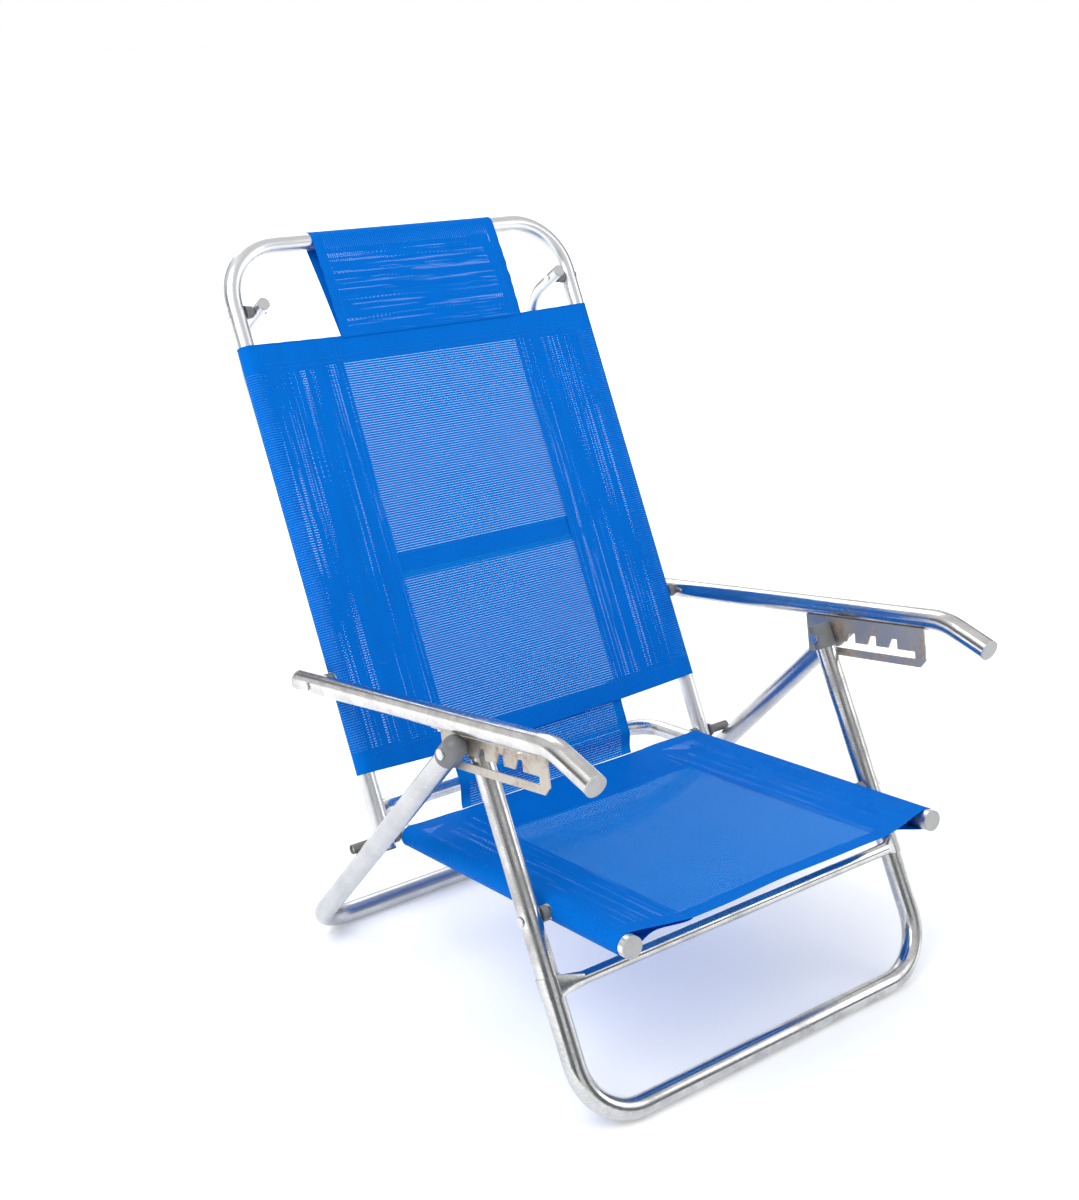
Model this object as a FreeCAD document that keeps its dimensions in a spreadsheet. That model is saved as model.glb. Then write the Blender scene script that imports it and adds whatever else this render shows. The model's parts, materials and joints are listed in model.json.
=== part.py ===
"""Low folding beach chair with a five-position reclining back.

Millimetres and degrees, Z up, floor at Z = 0. The sitter looks towards -Y, and left and right are
the sitter's, so left is +X. Every tube, sleeve and plug is drawn in the frame of its own bar:
local X is the chair's X, local Y runs along the bar, and the frame only turns about X.
"""

import FreeCAD
import Part
import Sketcher

import math
import os
import re

SIZES = {
    # tubes
    "tube_radius": 12.7,
    "slim_tube_radius": 11.1,
    "rail_radius": 8.0,
    "crossbar_radius": 7.8,
    "tube_wall": 1.2,
    # lanes: half distances between the axes of left and right tubes
    "seat_half": 234.3,
    "back_half": 263.4,
    "front_leg_half": 268.8,
    "rear_leg_half": 302.9,
    "arm_half": 296.0,
    "rail_half": 233.4,
    "plate_lane": 286.9,
    # legs, from the hinge that joins them down to the floor bars
    "leg_pivot_y": -170.1,
    "leg_pivot_z": 388.0,
    "front_leg_tilt": 29.58,
    "rear_leg_tilt": 40.75,
    "front_leg_bend": 70.0,
    "rear_leg_bend": 55.0,
    "front_leg_top": 14.4,
    "rear_leg_top": 11.4,
    "crossbar_drop": 274.5,
    "crossbar_front": 22.0,
    "saddle_height": 24.0,
    "saddle_wall": 1.4,
    "saddle_wrap": 3.0,
    "flat_inset": 28.0,
    "flat_end": 3.0,
    "flat_front": 13.4,
    "flat_half": 1.1,
    # plastic caps on the leg tops
    "cap_wall": 1.5,
    "cap_skirt": 15.0,
    "cap_fit": 0.1,
    "cap_edge": 1.2,
    "round_cap_top": 22.1,
    "round_cap_edge": 13.9,
    # seat, from its pivot on the front legs
    "seat_pivot_drop": 198.0,
    "seat_tilt": 7.22,
    "seat_front": 129.0,
    "seat_tube_rear": 288.0,
    "back_pivot_distance": 307.2,
    "bow_rear": 399.0,
    "bow_lap": 60.0,
    "bow_bend": 42.0,
    # back, from its pivot on the seat
    "back_tilt": 28.21,
    "back_length": 762.5,
    "back_tail": 12.0,
    "back_bend": 75.0,
    "arm_pivot_height": 205.7,
    "rail_pivot_height": 678.4,
    # slings: mesh with a sleeve along each tube
    "cloth": 1.0,
    "cloth_fit": 0.2,
    "web_cloth": 1.5,
    "web_inset": 4.0,
    "seat_sling_front": 123.0,
    "seat_sling_rear": 292.0,
    "back_sling_low": 84.0,
    "back_sling_high": 632.7,
    "pivot_opening": 10.5,
    "strip_half": 140.0,
    "strip_low": 42.0,
    "strip_gap": 0.8,
    "pillow_half": 143.0,
    "pillow_low": 634.0,
    "pillow_edge": 2.0,
    # armrests, from their pivots on the back
    "arm_tilt": 11.62,
    "arm_tail": 37.7,
    "arm_straight": 464.8,
    "arm_bend": 80.0,
    "arm_turn": 25.0,
    "arm_tip": 50.0,
    # notched plates, in the frame of the armrest
    "plate_wall": 2.0,
    "plate_front": 457.0,
    "plate_rear": 262.0,
    "plate_bottom": 59.5,
    "plate_top": 10.2,
    "plate_corner": 9.0,
    "flange_wall": 1.0,
    "flange_out": 4.0,
    "channel_low": 49.7,
    "channel_high": 40.5,
    "channel_front": 441.0,
    "channel_rear": 283.0,
    "notch_top": 28.2,
    "notch_front": 309.6,
    "notch_pitch": 34.6,
    "notch_width": 8.4,
    "notch_slant": 6.3,
    "plate_rivet_front": 425.0,
    "plate_rivet_rear": 276.0,
    "plate_rivet_radius": 2.2,
    # rear rail, from its pivot on the back
    "rail_tilt": 31.2,
    "rail_lead": 27.0,
    "rail_tail": 19.0,
    "hook_radius": 54.0,
    "hook_turn": 85.2,
    "rail_arm": 300.0,
    "rail_bend": 50.0,
    # pins, bolts and what sits on them
    "pin_radius": 4.0,
    "bolt_radius": 3.2,
    "rail_bolt_radius": 2.6,
    "running_gap": 0.05,
    "side_gap": 0.3,
    "head_height": 1.9,
    "head_extra": 2.3,
    "spacer_radius": 9.0,
    "cone_radius": 10.5,
    "cone_tip": 6.6,
    "stop_radius": 6.0,
    "stop_out": 310.0,
    "stop_socket": 4.0,
    "stop_bore": 4.9,
    "plug_lip": 2.5,
    "plug_depth": 7.0,
    "plug_fit": 0.15,
}

doc = FreeCAD.newDocument("beach_chair")
sheet = doc.addObject("Spreadsheet::Sheet", "sizes")
for line, (alias, number) in enumerate(SIZES.items(), start=1):
    sheet.set(f"A{line}", alias)
    sheet.set(f"B{line}", str(number))
    sheet.setAlias(f"B{line}", alias)
doc.recompute()

SIDES = {"left": 1, "right": -1}
sub_parts = []


# ---------------------------------------------------------------------------- expressions and frames


def bound(text):
    """The expression with every alias written as a reference to the sheet."""
    return re.sub(r"[a-z][a-z_]*[a-z]", lambda word: with_sheet(word.group()), str(text))


def with_sheet(word):
    return f"sizes.{word}" if word in SIZES else word


def step_along(point, distance, angle):
    """The point at a distance from another one, in the YZ plane, angle counted from +Y to +Z."""
    y, z = point
    return f"{y} + ({distance}) * cos({angle})", f"{z} + ({distance}) * sin({angle})"


LEG_PIVOT = ("leg_pivot_y", "leg_pivot_z")
FRONT_LEG_UP = "(90 - front_leg_tilt)"
REAR_LEG_UP = "(90 + rear_leg_tilt)"
SEAT_FORWARD = "(180 - seat_tilt)"
BACK_UP = "(90 - back_tilt)"
BACK_DOWN = "(270 - back_tilt)"
ARM_REARWARD = "(0 - arm_tilt)"
RAIL_UP = "(90 - rail_tilt)"
SEAT_PIVOT = step_along(LEG_PIVOT, "0 - seat_pivot_drop", FRONT_LEG_UP)
BACK_PIVOT = step_along(SEAT_PIVOT, "0 - back_pivot_distance", SEAT_FORWARD)
ARM_PIVOT = step_along(BACK_PIVOT, "arm_pivot_height", BACK_UP)
RAIL_PIVOT = step_along(BACK_PIVOT, "rail_pivot_height", BACK_UP)
ARM_CORNER = step_along(ARM_PIVOT, "0 - arm_straight - arm_bend * tan(arm_turn / 2)", ARM_REARWARD)
ARM_TIP_OUT = "(180 - arm_tilt + arm_turn)"
ARM_TIP = step_along(ARM_CORNER, "arm_tip + arm_bend * tan(arm_turn / 2)", ARM_TIP_OUT)
RAIL_END_OUT = "(90 - rail_tilt + hook_turn)"
RAIL_END = step_along(RAIL_PIVOT, "rail_tail", RAIL_END_OUT)
FRONT_LEG_LENGTH = "(leg_pivot_z - tube_radius) / cos(front_leg_tilt)"
REAR_LEG_LENGTH = "(leg_pivot_z - tube_radius) / cos(rear_leg_tilt)"
SLEEVE_OUTER = "(cloth_fit + cloth)"


def new_body(label, point, angle):
    """A body whose frame stands at a point of the YZ plane, with local Y at the angle."""
    body = doc.addObject("PartDesign::Body", label)
    body.Label = label
    y, z = point
    place = f"placement(vector(0; {y}; {z}); rotation(vector(1; 0; 0); {angle}))"
    body.setExpression("Placement", bound(place))
    sub_parts.append(body)
    return body


def origin_plane(body, role):
    return next(item for item in body.Origin.OriginFeatures if item.Role == role)


def new_sketch(body, name, role, offset="0"):
    sketch = body.newObject("Sketcher::SketchObject", name)
    sketch.AttachmentSupport = [(origin_plane(body, role), "")]
    sketch.MapMode = "FlatFace"
    sketch.setExpression("AttachmentOffset.Base.z", bound(offset))
    return sketch


def bind(sketch, name, constraint, text):
    """Adds a dimension and binds it to an expression."""
    index = sketch.addConstraint(constraint)
    sketch.renameConstraint(index, name)
    sketch.setExpression(f"Constraints.{name}", bound(text))


def fix_point(sketch, name, geometry, vertex, x, y):
    """Holds a vertex at X and Y from the sketch's origin."""
    spot = sketch.getPoint(geometry, vertex)
    across = Sketcher.Constraint("DistanceX", -1, 1, geometry, vertex, spot.x)
    bind(sketch, f"{name}_x", across, x)
    up = Sketcher.Constraint("DistanceY", -1, 1, geometry, vertex, spot.y)
    bind(sketch, f"{name}_y", up, y)


def add_circles(sketch, circles):
    """Circles given as (x, y, radius)."""
    for x, y, radius in circles:
        start = Part.Circle(FreeCAD.Vector(1, 1, 0), FreeCAD.Vector(0, 0, 1), 5)
        index = sketch.addGeometry(start, False)
        name = f"circle_{index}"
        fix_point(sketch, name, index, 3, x, y)
        bind(sketch, f"{name}_radius", Sketcher.Constraint("Radius", index, 5.0), radius)


def add_outline(sketch, corners):
    """A closed outline through corners given as (x, y), in order round it."""
    count = len(corners)
    turns = [2 * math.pi * step / count for step in range(count)]
    spots = [FreeCAD.Vector(50 * math.cos(turn), 50 * math.sin(turn), 0) for turn in turns]
    first = sketch.GeometryCount
    for step in range(count):
        sketch.addGeometry(Part.LineSegment(spots[step], spots[(step + 1) % count]), False)
    for step in range(count):
        following = first + (step + 1) % count
        sketch.addConstraint(Sketcher.Constraint("Coincident", first + step, 2, following, 1))
    for step, (x, y) in enumerate(corners):
        fix_point(sketch, f"corner_{first + step}", first + step, 1, x, y)


# ------------------------------------------------------------------------------------------- features


def pad(body, sketch, name, length, both_ways=False, backwards=False):
    feature = body.newObject("PartDesign::Pad", name)
    feature.Profile = sketch
    feature.setExpression("Length", bound(length))
    if both_ways:
        feature.SideType = "Symmetric"
    feature.Reversed = backwards
    doc.recompute()
    return feature


def checked_cut(body, feature, volume_before):
    """Stops the build if a cut has taken nothing away."""
    doc.recompute()
    if body.Shape.Volume > volume_before - 1:
        raise RuntimeError(f"{body.Label}: {feature.Label} cuts nothing")


def cut(body, sketch, name, length=None, backwards=False):
    """Cuts a sketch out of a body, right through it both ways, or one way by a length."""
    volume_before = body.Shape.Volume
    feature = body.newObject("PartDesign::Pocket", name)
    feature.Profile = sketch
    if length is None:
        feature.Type = "ThroughAll"
        feature.SideType = "Symmetric"
    else:
        feature.setExpression("Length", bound(length))
        feature.Reversed = backwards
    checked_cut(body, feature, volume_before)
    return feature


def cross_hole(body, name, y, radius, z="0"):
    """A hole along X through everything at local (y, z)."""
    sketch = new_sketch(body, f"{name}_sketch", "YZ_Plane")
    add_circles(sketch, [(y, z, radius)])
    cut(body, sketch, name)


def mirrored(body, feature, name):
    copy = body.newObject("PartDesign::Mirrored", name)
    copy.Originals = [feature]
    copy.MirrorPlane = (origin_plane(body, "YZ_Plane"), [""])
    body.Tip = copy
    doc.recompute()


def swept_tube(body, name, path, section):
    tube = body.newObject("PartDesign::AdditivePipe", name)
    tube.Profile = section
    tube.Spine = (path, [f"Edge{step}" for step in range(1, path.GeometryCount + 1)])
    doc.recompute()
    return tube


def tube_section(body, name, x, radius, offset, y="0"):
    """The ring-shaped section of a tube, across local Y."""
    section = new_sketch(body, name, "XZ_Plane", offset)
    add_circles(section, [(x, y, radius), (x, y, f"{radius} - tube_wall")])
    return section


def u_path(body, name, half, bar, end, bend, offset="0"):
    """A U in the XY plane: cross bar at local y = bar, open towards +Y as far as y = end."""
    path = new_sketch(body, name, "XY_Plane", offset)
    half_start, depth, curve = 250, 400, 50
    left, right = -half_start, half_start
    normal = FreeCAD.Vector(0, 0, 1)
    left_centre = FreeCAD.Vector(left + curve, curve - depth, 0)
    right_centre = FreeCAD.Vector(right - curve, curve - depth, 0)
    left_circle = Part.Circle(left_centre, normal, curve)
    right_circle = Part.Circle(right_centre, normal, curve)
    pieces = [
        Part.LineSegment(FreeCAD.Vector(left, 0, 0), FreeCAD.Vector(left, curve - depth, 0)),
        Part.ArcOfCircle(left_circle, math.pi, 1.5 * math.pi),
        Part.LineSegment(
            FreeCAD.Vector(left + curve, -depth, 0), FreeCAD.Vector(right - curve, -depth, 0)
        ),
        Part.ArcOfCircle(right_circle, 1.5 * math.pi, 2 * math.pi),
        Part.LineSegment(FreeCAD.Vector(right, curve - depth, 0), FreeCAD.Vector(right, 0, 0)),
    ]
    path.addGeometry(pieces, False)
    for piece in range(4):
        path.addConstraint(Sketcher.Constraint("Tangent", piece, 2, piece + 1, 1))
    path.addConstraint(Sketcher.Constraint("Vertical", 0))
    path.addConstraint(Sketcher.Constraint("Horizontal", 2))
    path.addConstraint(Sketcher.Constraint("Vertical", 4))
    path.addConstraint(Sketcher.Constraint("Equal", 1, 3))
    path.addConstraint(Sketcher.Constraint("Symmetric", 0, 1, 4, 2, -2))
    fix_point(path, "end", 4, 2, half, end)
    bind(path, "bend", Sketcher.Constraint("Radius", 1, curve), bend)
    bar_height = Sketcher.Constraint("DistanceY", -1, 1, 2, 1, -depth)
    bind(path, "bar_height", bar_height, bar)
    return path


def u_tube(label, point, angle, half, bar, end, bend, radius):
    """A bent tube in the shape of a U."""
    body = new_body(label, point, angle)
    path = u_path(body, f"{label}_path", half, bar, end, bend)
    section = tube_section(body, f"{label}_section", f"0 - {half}", radius, f"0 - ({end})")
    swept_tube(body, f"{label}_tube", path, section)
    return body


def turned(label, point, profile, sides=(1, -1), angle="0"):
    """Round pieces on a cross axis: outline given as (x, radius), one solid on each side."""
    body = new_body(label, point, angle)
    sketch = new_sketch(body, f"{label}_profile", "XY_Plane")
    add_outline(sketch, [(f"{sides[0]} * ({x})", radius) for x, radius in profile])
    solid = body.newObject("PartDesign::Revolution", f"{label}_turned")
    solid.Profile = sketch
    solid.ReferenceAxis = (sketch, ["H_Axis"])
    solid.Angle = 360
    doc.recompute()
    if len(sides) == 2:
        mirrored(body, solid, f"{label}_mirrored")
    return body


def ring(inner_x, outer_x, radius, bore, tip=None):
    """Outline of a washer, spacer or cone round a bolt."""
    return [(inner_x, bore), (inner_x, radius), (outer_x, tip or radius), (outer_x, bore)]


def headed(inner_x, outer_x, radius, head_inside=False, head_outside=False):
    """Outline of a pin or rivet with a head at either end."""
    outline = [(inner_x, "0")]
    if head_inside:
        outline = [
            (f"{inner_x} - head_height", "0"),
            (f"{inner_x} - head_height", f"{radius} + head_extra"),
            (inner_x, f"{radius} + head_extra"),
        ]
    outline += [(inner_x, radius), (outer_x, radius)]
    if head_outside:
        outline += [
            (outer_x, f"{radius} + head_extra"),
            (f"{outer_x} + head_height", f"{radius} + head_extra"),
            (f"{outer_x} + head_height", "0"),
        ]
    else:
        outline.append((outer_x, "0"))
    return outline


def plug(label, point, angle, centres, radius, start="0"):
    """Plugs in tube ends: a lip outside the tube and a round insert inside it."""
    body = new_body(label, point, angle)
    lip = new_sketch(body, f"{label}_lip_sketch", "XZ_Plane", f"0 - ({start})")
    add_circles(lip, [(x, "0", radius) for x in centres])
    pad(body, lip, f"{label}_lip", "plug_lip", backwards=True)
    insert = new_sketch(body, f"{label}_insert_sketch", "XZ_Plane", f"0 - ({start})")
    add_circles(insert, [(x, "0", f"{radius} - tube_wall - plug_fit") for x in centres])
    pad(body, insert, f"{label}_insert", "plug_depth")
    return body


# ------------------------------------------------------------------------------------------------ legs


def make_front_legs():
    legs = u_tube(
        "front_leg_frame", LEG_PIVOT, FRONT_LEG_UP, "front_leg_half",
        f"0 - {FRONT_LEG_LENGTH}", "front_leg_top", "front_leg_bend", "tube_radius",
    )
    cross_hole(legs, "hinge_hole", "0", "pin_radius + running_gap")
    cross_hole(legs, "seat_hole", "0 - seat_pivot_drop", "bolt_radius + running_gap")
    make_crossbar()
    for side, sign in SIDES.items():
        make_flat_cap(f"front_leg_cap_{side}", f"{sign} * front_leg_half")
    inner_end = "front_leg_half - tube_radius - cap_wall - cap_fit"
    outer_end = "plate_lane - plate_wall / 2 - side_gap"
    turned("leg_hinge_pins_inner", LEG_PIVOT, headed(inner_end, outer_end, "pin_radius", True))


def make_crossbar():
    """A thin tube in front of the legs, flattened at both ends into half rings round them."""
    bar = new_body("front_crossbar", LEG_PIVOT, FRONT_LEG_UP)
    height = "0 - crossbar_drop"
    flat_start = "front_leg_half - flat_inset"
    section = new_sketch(bar, "bar_section", "YZ_Plane")
    rim = (height, "crossbar_front", "crossbar_radius")
    bore = (height, "crossbar_front", "crossbar_radius - tube_wall")
    add_circles(section, [rim, bore])
    pad(bar, section, "bar_tube", f"2 * ({flat_start})", both_ways=True)

    round_end = new_sketch(bar, "round_end", "YZ_Plane", flat_start)
    add_circles(round_end, [rim])
    flat_end = new_sketch(bar, "flat_end", "YZ_Plane", "front_leg_half - flat_end")
    add_flat_oval(flat_end, height, "flat_front", "saddle_height / 2", "flat_half")
    neck = bar.newObject("PartDesign::AdditiveLoft", "neck")
    neck.Profile = round_end
    neck.Sections = [flat_end]
    doc.recompute()
    mirrored(bar, neck, "other_neck")

    saddle = new_sketch(bar, "saddle_section", "XZ_Plane", "crossbar_drop - saddle_height / 2")
    inner = "tube_radius + cap_fit"
    legs = [f"{sign} * front_leg_half" for sign in SIDES.values()]
    add_circles(saddle, [(x, "0", f"{inner} + saddle_wall") for x in legs])
    add_circles(saddle, [(x, "0", inner) for x in legs])
    pad(bar, saddle, "saddle_rings", "saddle_height")
    behind = new_sketch(bar, "open_side", "XZ_Plane", "crossbar_drop")
    far = "front_leg_half + 2 * tube_radius"
    corners = [
        (f"0 - {far}", "0 - saddle_wrap"), (f"0 - {far}", "0 - 2 * tube_radius"),
        (far, "0 - 2 * tube_radius"), (far, "0 - saddle_wrap"),
    ]
    add_outline(behind, corners)
    cut(bar, behind, "open_rear")


def add_flat_oval(sketch, x, y, half_length, half_width):
    """An ellipse with its long axis along the sketch's X."""
    major, minor = 20.0, 10.0
    across = FreeCAD.Vector(major, 0, 0)
    upward = FreeCAD.Vector(0, minor, 0)
    index = sketch.addGeometry(Part.Ellipse(across, upward, FreeCAD.Vector(0, 0, 0)), False)
    sketch.exposeInternalGeometry(index)
    long_axis, short_axis = index + 1, index + 2
    sketch.addConstraint(Sketcher.Constraint("Horizontal", long_axis))
    fix_point(sketch, "middle", index, 3, x, y)
    long_size = Sketcher.Constraint("Distance", long_axis, 2 * major)
    bind(sketch, "long_size", long_size, f"2 * ({half_length})")
    short_size = Sketcher.Constraint("Distance", short_axis, 2 * minor)
    bind(sketch, "short_size", short_size, f"2 * ({half_width})")


def cap_shell(label, angle, x, top, tube_top):
    """A cup over the end of a leg, with a hole for the hinge pin."""
    body = new_body(label, LEG_PIVOT, angle)
    outside = new_sketch(body, f"{label}_outside", "XZ_Plane", "cap_skirt")
    add_circles(outside, [(x, "0", "tube_radius + cap_wall")])
    shell = pad(body, outside, f"{label}_shell", f"cap_skirt + {top}", backwards=True)
    return body, shell, f"cap_skirt + {tube_top} + cap_fit"


def hollow_cap(body, label, x, depth):
    inside = new_sketch(body, f"{label}_inside", "XZ_Plane", "cap_skirt")
    add_circles(inside, [(x, "0", "tube_radius + cap_fit")])
    cut(body, inside, f"{label}_hollow", depth)
    cross_hole(body, f"{label}_pin_hole", "0", "pin_radius + running_gap")


def round_top_edge(body, shell, label, radius):
    """Rounds the edge round the closed end of a cap."""
    edges = shell.Shape.Edges
    heights = [edge.CenterOfMass.y for edge in edges]
    top = heights.index(max(heights))
    rounding = body.newObject("PartDesign::Fillet", f"{label}_rounding")
    rounding.Base = (shell, [f"Edge{top + 1}"])
    rounding.setExpression("Radius", bound(radius))
    doc.recompute()


def make_flat_cap(label, x):
    top = "front_leg_top + cap_fit + cap_wall"
    body, shell, depth = cap_shell(label, FRONT_LEG_UP, x, top, "front_leg_top")
    round_top_edge(body, shell, label, "cap_edge")
    hollow_cap(body, label, x, depth)


def make_round_cap(label, x):
    body, shell, depth = cap_shell(label, REAR_LEG_UP, x, "round_cap_top", "rear_leg_top")
    round_top_edge(body, shell, label, "round_cap_edge")
    hollow_cap(body, label, x, depth)


def make_rear_legs():
    legs = u_tube(
        "rear_leg_frame", LEG_PIVOT, REAR_LEG_UP, "rear_leg_half",
        f"0 - {REAR_LEG_LENGTH}", "rear_leg_top", "rear_leg_bend", "tube_radius",
    )
    cross_hole(legs, "hinge_hole", "0", "pin_radius + running_gap")
    for side, sign in SIDES.items():
        make_round_cap(f"rear_leg_cap_{side}", f"{sign} * rear_leg_half")
    inner_end = "plate_lane + plate_wall / 2 + side_gap"
    outer_end = "rear_leg_half + tube_radius + cap_wall + cap_fit"
    pins = headed(inner_end, outer_end, "pin_radius", head_outside=True)
    turned("leg_hinge_pins_outer", LEG_PIVOT, pins)


# ------------------------------------------------------------------------------------------------ seat


def make_seat():
    for side, sign in SIDES.items():
        x = f"{sign} * seat_half"
        body = new_body(f"seat_side_tube_{side}", SEAT_PIVOT, SEAT_FORWARD)
        section = tube_section(body, f"seat_{side}_section", x, "tube_radius", "seat_tube_rear")
        pad(body, section, f"seat_{side}_tube", "seat_tube_rear + seat_front", backwards=True)
        cross_hole(body, f"seat_{side}_hole", "0", "bolt_radius + running_gap")
        name = f"seat_front_plug_{side}"
        plug(name, SEAT_PIVOT, SEAT_FORWARD, [x], "tube_radius", start="seat_front")
    bow = u_tube(
        "seat_rear_bow", SEAT_PIVOT, SEAT_FORWARD, "seat_half", "0 - bow_rear",
        "bow_lap - seat_tube_rear", "bow_bend", "slim_tube_radius",
    )
    cross_hole(bow, "back_bolt_hole", "0 - back_pivot_distance", "bolt_radius + running_gap")
    make_sling(
        "seat_sling", SEAT_PIVOT, SEAT_FORWARD, "seat_half", "tube_radius",
        "0 - seat_sling_rear", "seat_sling_front", "0",
    )
    skin = "seat_half + tube_radius"
    leg = "front_leg_half - tube_radius"
    bore = "bolt_radius + running_gap"
    outline = ring(f"{skin} + side_gap", f"{leg} - side_gap", "spacer_radius", bore)
    turned("seat_pivot_spacers", SEAT_PIVOT, outline)
    inner_end = "seat_half - tube_radius + side_gap"
    outer_end = "front_leg_half + tube_radius + side_gap"
    bolts = headed(inner_end, outer_end, "bolt_radius", head_outside=True)
    turned("seat_pivot_bolts", SEAT_PIVOT, bolts)


def make_sling(label, point, angle, half, tube, low, high, opening):
    """Mesh between two tubes on the sitter's side (local -Z), with a sleeve round each tube."""
    body = new_body(label, point, angle)
    length = f"{high} - ({low})"
    sleeves = new_sketch(body, f"{label}_sleeve_section", "XZ_Plane", f"0 - ({low})")
    centres = [f"{sign} * {half}" for sign in SIDES.values()]
    add_circles(sleeves, [(x, "0", f"{tube} + {SLEEVE_OUTER}") for x in centres])
    add_circles(sleeves, [(x, "0", f"{tube} + cloth_fit") for x in centres])
    pad(body, sleeves, f"{label}_sleeves", length, backwards=True)
    web = new_sketch(body, f"{label}_web_section", "XZ_Plane", f"0 - ({low})")
    edge = f"{half} - web_inset"
    face = f"0 - {tube} - {SLEEVE_OUTER}"
    rear = f"{face} + web_cloth"
    add_outline(web, [(edge, face), (edge, rear), (f"0 - ({edge})", rear), (f"0 - ({edge})", face)])
    pad(body, web, f"{label}_web", length, backwards=True)
    gap = new_sketch(body, f"{label}_gap_sketch", "YZ_Plane", half)
    add_circles(gap, [(opening, "0", "pivot_opening")])
    slot = cut(body, gap, f"{label}_gap", "2 * tube_radius", backwards=True)
    mirrored(body, slot, f"{label}_other_gap")
    return body


# ------------------------------------------------------------------------------------------------ back


def make_back_pivot():
    seat_skin = "seat_half + slim_tube_radius + side_gap"
    inner_skin = "back_half - slim_tube_radius - side_gap"
    outer_skin = "back_half + slim_tube_radius + side_gap"
    cone_end = "arm_half - tube_radius - side_gap"
    bore = "bolt_radius + running_gap"
    turned("back_pivot_washers", BACK_PIVOT, ring(seat_skin, inner_skin, "spacer_radius", bore))
    cone = ring(outer_skin, cone_end, "cone_radius", bore, tip="cone_tip")
    turned("back_pivot_cones", BACK_PIVOT, cone)
    sleeve = [
        (f"{cone_end} + running_gap", bore),
        (f"{cone_end} + running_gap", "stop_radius"),
        ("stop_out", "stop_radius"),
        ("stop_out", "stop_bore"),
        ("stop_out - stop_socket", "stop_bore"),
        ("stop_out - stop_socket", bore),
    ]
    turned("leg_stop_sleeves", BACK_PIVOT, sleeve)
    head = "stop_out - stop_socket + running_gap"
    bolt = [
        ("seat_half - slim_tube_radius - side_gap - head_height", "0"),
        ("seat_half - slim_tube_radius - side_gap - head_height", "bolt_radius + head_extra"),
        ("seat_half - slim_tube_radius - side_gap", "bolt_radius + head_extra"),
        ("seat_half - slim_tube_radius - side_gap", "bolt_radius"),
        (head, "bolt_radius"),
        (head, "stop_bore - side_gap"),
        (f"{head} + head_height", "stop_bore - side_gap"),
        (f"{head} + head_height", "0"),
    ]
    turned("back_pivot_bolts", BACK_PIVOT, bolt)


def make_back():
    frame = u_tube(
        "back_frame", BACK_PIVOT, BACK_DOWN, "back_half",
        "0 - back_length", "back_tail", "back_bend", "slim_tube_radius",
    )
    cross_hole(frame, "seat_bolt_hole", "0", "bolt_radius + running_gap")
    cross_hole(frame, "arm_bolt_hole", "0 - arm_pivot_height", "bolt_radius + running_gap")
    cross_hole(frame, "rail_bolt_hole", "0 - rail_pivot_height", "rail_bolt_radius + running_gap")
    centres = [f"{sign} * back_half" for sign in SIDES.values()]
    plug("back_end_plugs", BACK_PIVOT, BACK_DOWN, centres, "slim_tube_radius", start="back_tail")
    make_sling(
        "back_sling", BACK_PIVOT, BACK_DOWN, "back_half", "slim_tube_radius",
        "0 - back_sling_high", "0 - back_sling_low", "0 - arm_pivot_height",
    )
    make_lumbar_strip()
    make_head_pillow()
    make_rail_pivots()


def make_lumbar_strip():
    """The panel of mesh between the lower hem of the back and the seat."""
    body = new_body("lumbar_strip", BACK_PIVOT, BACK_DOWN)
    section = new_sketch(body, "strip_section", "XZ_Plane", "strip_low")
    corners = [
        ("strip_half", "0 - web_cloth"), ("strip_half", "0"),
        ("0 - strip_half", "0"), ("0 - strip_half", "0 - web_cloth"),
    ]
    add_outline(section, corners)
    pad(body, section, "strip", "back_sling_low - strip_gap - strip_low")


def make_head_pillow():
    """A loop of mesh over the top bar, closed along its lower edge."""
    body = new_body("head_pillow", BACK_PIVOT, BACK_DOWN)
    bar = "0 - back_length"
    outer = f"slim_tube_radius + {SLEEVE_OUTER}"
    loop = new_sketch(body, "loop_section", "YZ_Plane")
    add_circles(loop, [(bar, "0", outer)])
    pad(body, loop, "loop", "2 * pillow_half", both_ways=True)
    fall = new_sketch(body, "fall_section", "YZ_Plane")
    corners = [
        (bar, outer), ("0 - pillow_low", "pillow_edge"),
        ("0 - pillow_low", "0 - pillow_edge"), (bar, f"0 - ({outer})"),
    ]
    add_outline(fall, corners)
    pad(body, fall, "fall", "2 * pillow_half", both_ways=True)
    cross_hole(body, "bar_tunnel", bar, "slim_tube_radius + cloth_fit")


def make_rail_pivots():
    rail_skin = "rail_half + rail_radius + side_gap"
    frame_skin = "back_half - slim_tube_radius - side_gap"
    bore = "rail_bolt_radius + running_gap"
    cone = ring(rail_skin, frame_skin, "rail_radius - 2 * side_gap", bore, tip="spacer_radius")
    turned("rail_spacers", RAIL_PIVOT, cone)
    inner_end = "rail_half - rail_radius - side_gap"
    outer_end = "back_half + slim_tube_radius + running_gap"
    bolts = headed(inner_end, outer_end, "rail_bolt_radius", True, True)
    turned("rail_pivot_bolts", RAIL_PIVOT, bolts)


# ------------------------------------------------------------------------------------------------ rail


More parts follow.
